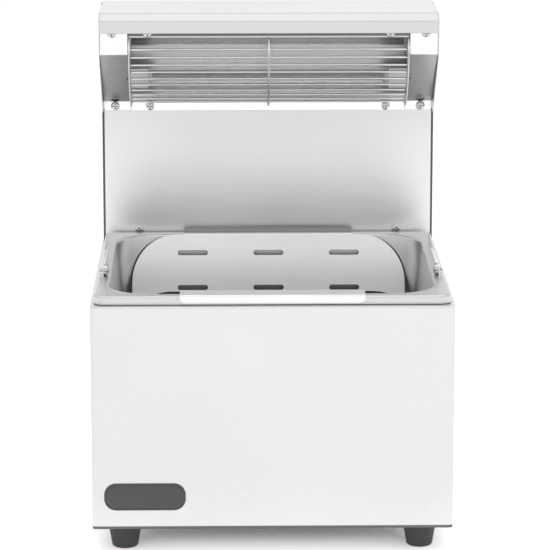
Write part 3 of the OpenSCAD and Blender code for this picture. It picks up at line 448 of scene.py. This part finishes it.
def onGuardArc(beta, radius):
    a = math.radians(beta)
    return guard["y"] - radius * math.sin(a), guard["z"] - radius * math.cos(a)


def domedWire(start, stop, radius, sides):
    start, stop = Vector(start), Vector(stop)
    along = (stop - start).normalized()
    body = sweepWire([start, start + along * radius, stop - along * radius, stop], radius, sides)
    for ring, centre in ((body[0], start), (body[-1], stop)):
        for k, p in enumerate(ring):
            ring[k] = centre + (p - centre) * guard["dome"]
    return loftRings(body)


# A weld bead's rings: lift along the joint and reach across it, in millimetres
beadProfile = [(-0.45, 0.55), (-0.2, 0.85), (0.2, 0.85), (0.45, 0.55)]
beadTurns = [2 * math.pi * k / 10 for k in range(10)]

guardSolids = []
longWires = [guard["first"] + (guard["last"] - guard["first"]) * i / (guard["count"] - 1)
             for i in range(guard["count"])]
for beta in longWires:
    y, z = onGuardArc(beta, guard["arc"])
    start, stop = (-guard["half"], y, z), (guard["half"], y, z)
    guardSolids.append(domedWire(start, stop, guard["wire"], guard["sides"]))

crossRadius = guard["arc"] + 2 * guard["wire"] + guard["gap"]
for x in (-guard["cross"], 0.0, guard["cross"]):
    path = [(x, *guard["lowEnd"])]
    for i in range(guard["crossSteps"] + 1):
        beta = guard["crossLow"] + (guard["crossTop"] - guard["crossLow"]) * i / guard["crossSteps"]
        path.append((x, *onGuardArc(beta, crossRadius)))
    path.append((x, *guard["topEnd"]))
    guardSolids.append(loftRings(sweepWire(path, guard["wire"], guard["sides"])))
    # Weld beads where the wires cross
    for beta in longWires:
        y, z = onGuardArc(beta, guard["arc"] + guard["wire"] + guard["gap"] / 2)
        a = math.radians(beta)
        outward = Vector((0, -math.sin(a), -math.cos(a)))
        beadRings = []
        for lift, reach in beadProfile:
            centre = Vector((x, y, z)) + outward * lift * mm
            beadRings.append([centre + reach * mm * Vector((math.cos(t), math.sin(t) * math.cos(a),
                                                            -math.sin(t) * math.sin(a)))
                              for t in beadTurns])
        guardSolids.append(loftRings(beadRings))
guardPiece = makePiece("lampGuardWires", *gatherSolids(guardSolids), looks["guardWire"])
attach(guardPiece, "chassis")
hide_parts("wire_guard")
print("guard welded")

# Filament: a coil on the lamp's axis between its caps

coilLow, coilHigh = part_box("lamp_filament")
coil = {"radius": 1.15 * mm, "wire": 0.2 * mm, "pitch": 2.4 * mm, "steps": 10}
coilY, coilZ = (coilLow.y + coilHigh.y) / 2, (coilLow.z + coilHigh.z) / 2
coilLength = coilHigh.x - coilLow.x
coilCount = int(coilLength / coil["pitch"] * coil["steps"])
coilPath = []
for i in range(coilCount + 1):
    a = 2 * math.pi * i / coil["steps"]
    coilPath.append((coilLow.x + coilLength * i / coilCount, coilY + coil["radius"] * math.cos(a),
                     coilZ + coil["radius"] * math.sin(a)))
filamentPiece = makePiece("filamentCoil", *loftRings(sweepWire(coilPath, coil["wire"], 5)),
                          looks["filamentWire"])
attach(filamentPiece, "chassis")
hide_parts("lamp_filament")

# Badge: a blank domed plate with a groove inside its raised edge

badgeLow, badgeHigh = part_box("badge_plate")
badge = {
    "halfL": (badgeHigh.x - badgeLow.x) / 2, "halfH": (badgeHigh.z - badgeLow.z) / 2,
    "x": (badgeHigh.x + badgeLow.x) / 2, "z": (badgeHigh.z + badgeLow.z) / 2, "back": badgeHigh.y,
}


def badgeRing(inset, rise):
    corner = max(badge["halfH"] * 0.86 - inset, 0.4 * mm)
    ring = []
    for p in planRing(badge["halfL"] - inset, badge["halfH"] - inset, corner, 0, 0, turns=12):
        ring.append(Vector((badge["x"] + p.x, badge["back"] - rise, badge["z"] + p.y)))
    return ring


# Inset from the edge and rise off the body, in millimetres
badgeProfile = [(0.0, 0.0), (0.0, 0.7), (0.1, 1.05), (0.35, 1.4), (0.7, 1.62), (1.1, 1.72), (1.5, 1.66),
                (1.75, 1.45), (1.95, 1.25), (2.2, 1.22), (2.5, 1.42), (2.85, 1.8), (3.2, 2.08), (3.6, 2.22),
                (4.2, 2.3), (6.0, 2.35), (9.0, 2.37), (11.5, 2.38), (13.2, 2.38)]
badgePoints, badgeFaces = loftRings([badgeRing(i * mm, r * mm) for i, r in badgeProfile])
badgePiece = makePiece("blankBadge", badgePoints, badgeFaces, looks["badgeEnamel"], 60)
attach(badgePiece, "chassis")
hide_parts("badge_plate")
print("badge and filament made")

# Studio: a pale floor that glows in a ring round the piece, a sky in bands, soft boxes

studio = {
    "discRadius": 16, "discSides": 48,
    "glowRise": (0.112, 0.178), "glowFall": (0.2, 0.42), "ring": 0.42, "far": 0.34,
}

floorLook, floorTree, floorShader = freshLook("studioFloor", 0.0, 0.8)
floorShader.inputs["Specular IOR Level"].default_value = 0.1
floorShader.inputs["Emission Color"].default_value = (1, 1, 1, 1)
spot = addNode(floorTree, "ShaderNodeTexCoord")
spotParts = addNode(floorTree, "ShaderNodeSeparateXYZ")
floorTree.links.new(spot.outputs["Object"], spotParts.inputs["Vector"])
farthest = addNode(floorTree, "ShaderNodeMath", operation="MAXIMUM")
for slotIndex, axis in enumerate("XY"):
    outward = addNode(floorTree, "ShaderNodeMath", operation="ABSOLUTE")
    floorTree.links.new(spotParts.outputs[axis], outward.inputs[0])
    floorTree.links.new(outward.outputs["Value"], farthest.inputs[slotIndex])
# Painted light: the floor glows in a ring round the piece and not under it, a pool of light that leaves the
# shade beneath the body
glow = addNode(floorTree, "ShaderNodeMath", operation="MULTIPLY")
rise = spreadOver(floorTree, farthest.outputs["Value"], 0.0, studio["ring"], *studio["glowRise"])
fall = spreadOver(floorTree, farthest.outputs["Value"], 1.0, studio["far"], *studio["glowFall"])
floorTree.links.new(rise, glow.inputs[0])
floorTree.links.new(fall, glow.inputs[1])
floorTree.links.new(glow.outputs["Value"], floorShader.inputs["Emission Strength"])
floorTone = blendTones(floorTree, noiseField(floorTree, 0.6, 2), (0.95, 0.95, 0.95), (0.97, 0.97, 0.97))
floorTree.links.new(floorTone, floorShader.inputs["Base Color"])
floorMesh = bpy.data.meshes.new("studioFloor")
discAngles = [2 * math.pi * k / studio["discSides"] for k in range(studio["discSides"])]
discPoints = [(studio["discRadius"] * math.cos(a), studio["discRadius"] * math.sin(a), 0)
              for a in discAngles]
floorMesh.from_pydata(discPoints, [], [tuple(range(studio["discSides"]))])
floorMesh.materials.append(floorLook)
studioFloor = bpy.data.objects.new("studioFloor", floorMesh)
bpy.context.collection.objects.link(studioFloor)

world = bpy.data.worlds.new("softStudio")
bpy.context.scene.world = world
world.use_nodes = True
sky = world.node_tree
background = sky.nodes["Background"]
background.inputs["Color"].default_value = (1, 1, 1, 1)
heading = addNode(sky, "ShaderNodeTexCoord")
parts = addNode(sky, "ShaderNodeSeparateXYZ")
sky.links.new(heading.outputs["Generated"], parts.inputs["Vector"])
belt = spreadOver(sky, parts.outputs["Z"], 1.08, 0.72, 0.2, 0.55)
crown = spreadOver(sky, parts.outputs["Z"], 0.0, 0.55, 0.6, 0.82)
zenith = spreadOver(sky, parts.outputs["Z"], 0.0, -0.5, 0.86, 0.97)
sky.links.new(addUp(sky, addUp(sky, belt, crown), zenith), background.inputs["Strength"])

softBoxes = [
    {"name": "overhead", "at": (0.2, -0.5, 2.6), "aim": (0, 0, 0.2), "size": 2.4, "power": 8},
    {"name": "frontWide", "at": (-0.3, -3.9, 1.5), "aim": (0, 0, 0.1), "size": 2.6, "power": 24},
    {"name": "sideFill", "at": (2.8, -1.6, 1.6), "aim": (0, 0, 0.2), "size": 1.4, "power": 14},
]
for box in softBoxes:
    lamp = bpy.data.lights.new(box["name"], "AREA")
    lamp.energy = box["power"]
    lamp.size = box["size"]
    holder = bpy.data.objects.new(box["name"], lamp)
    holder.location = box["at"]
    aim = Vector(box["aim"]) - Vector(box["at"])
    holder.rotation_euler = aim.to_track_quat("-Z", "Y").to_euler()
    holder.visible_glossy = box["name"] == "overhead"
    bpy.context.collection.objects.link(holder)
print("studio lit")
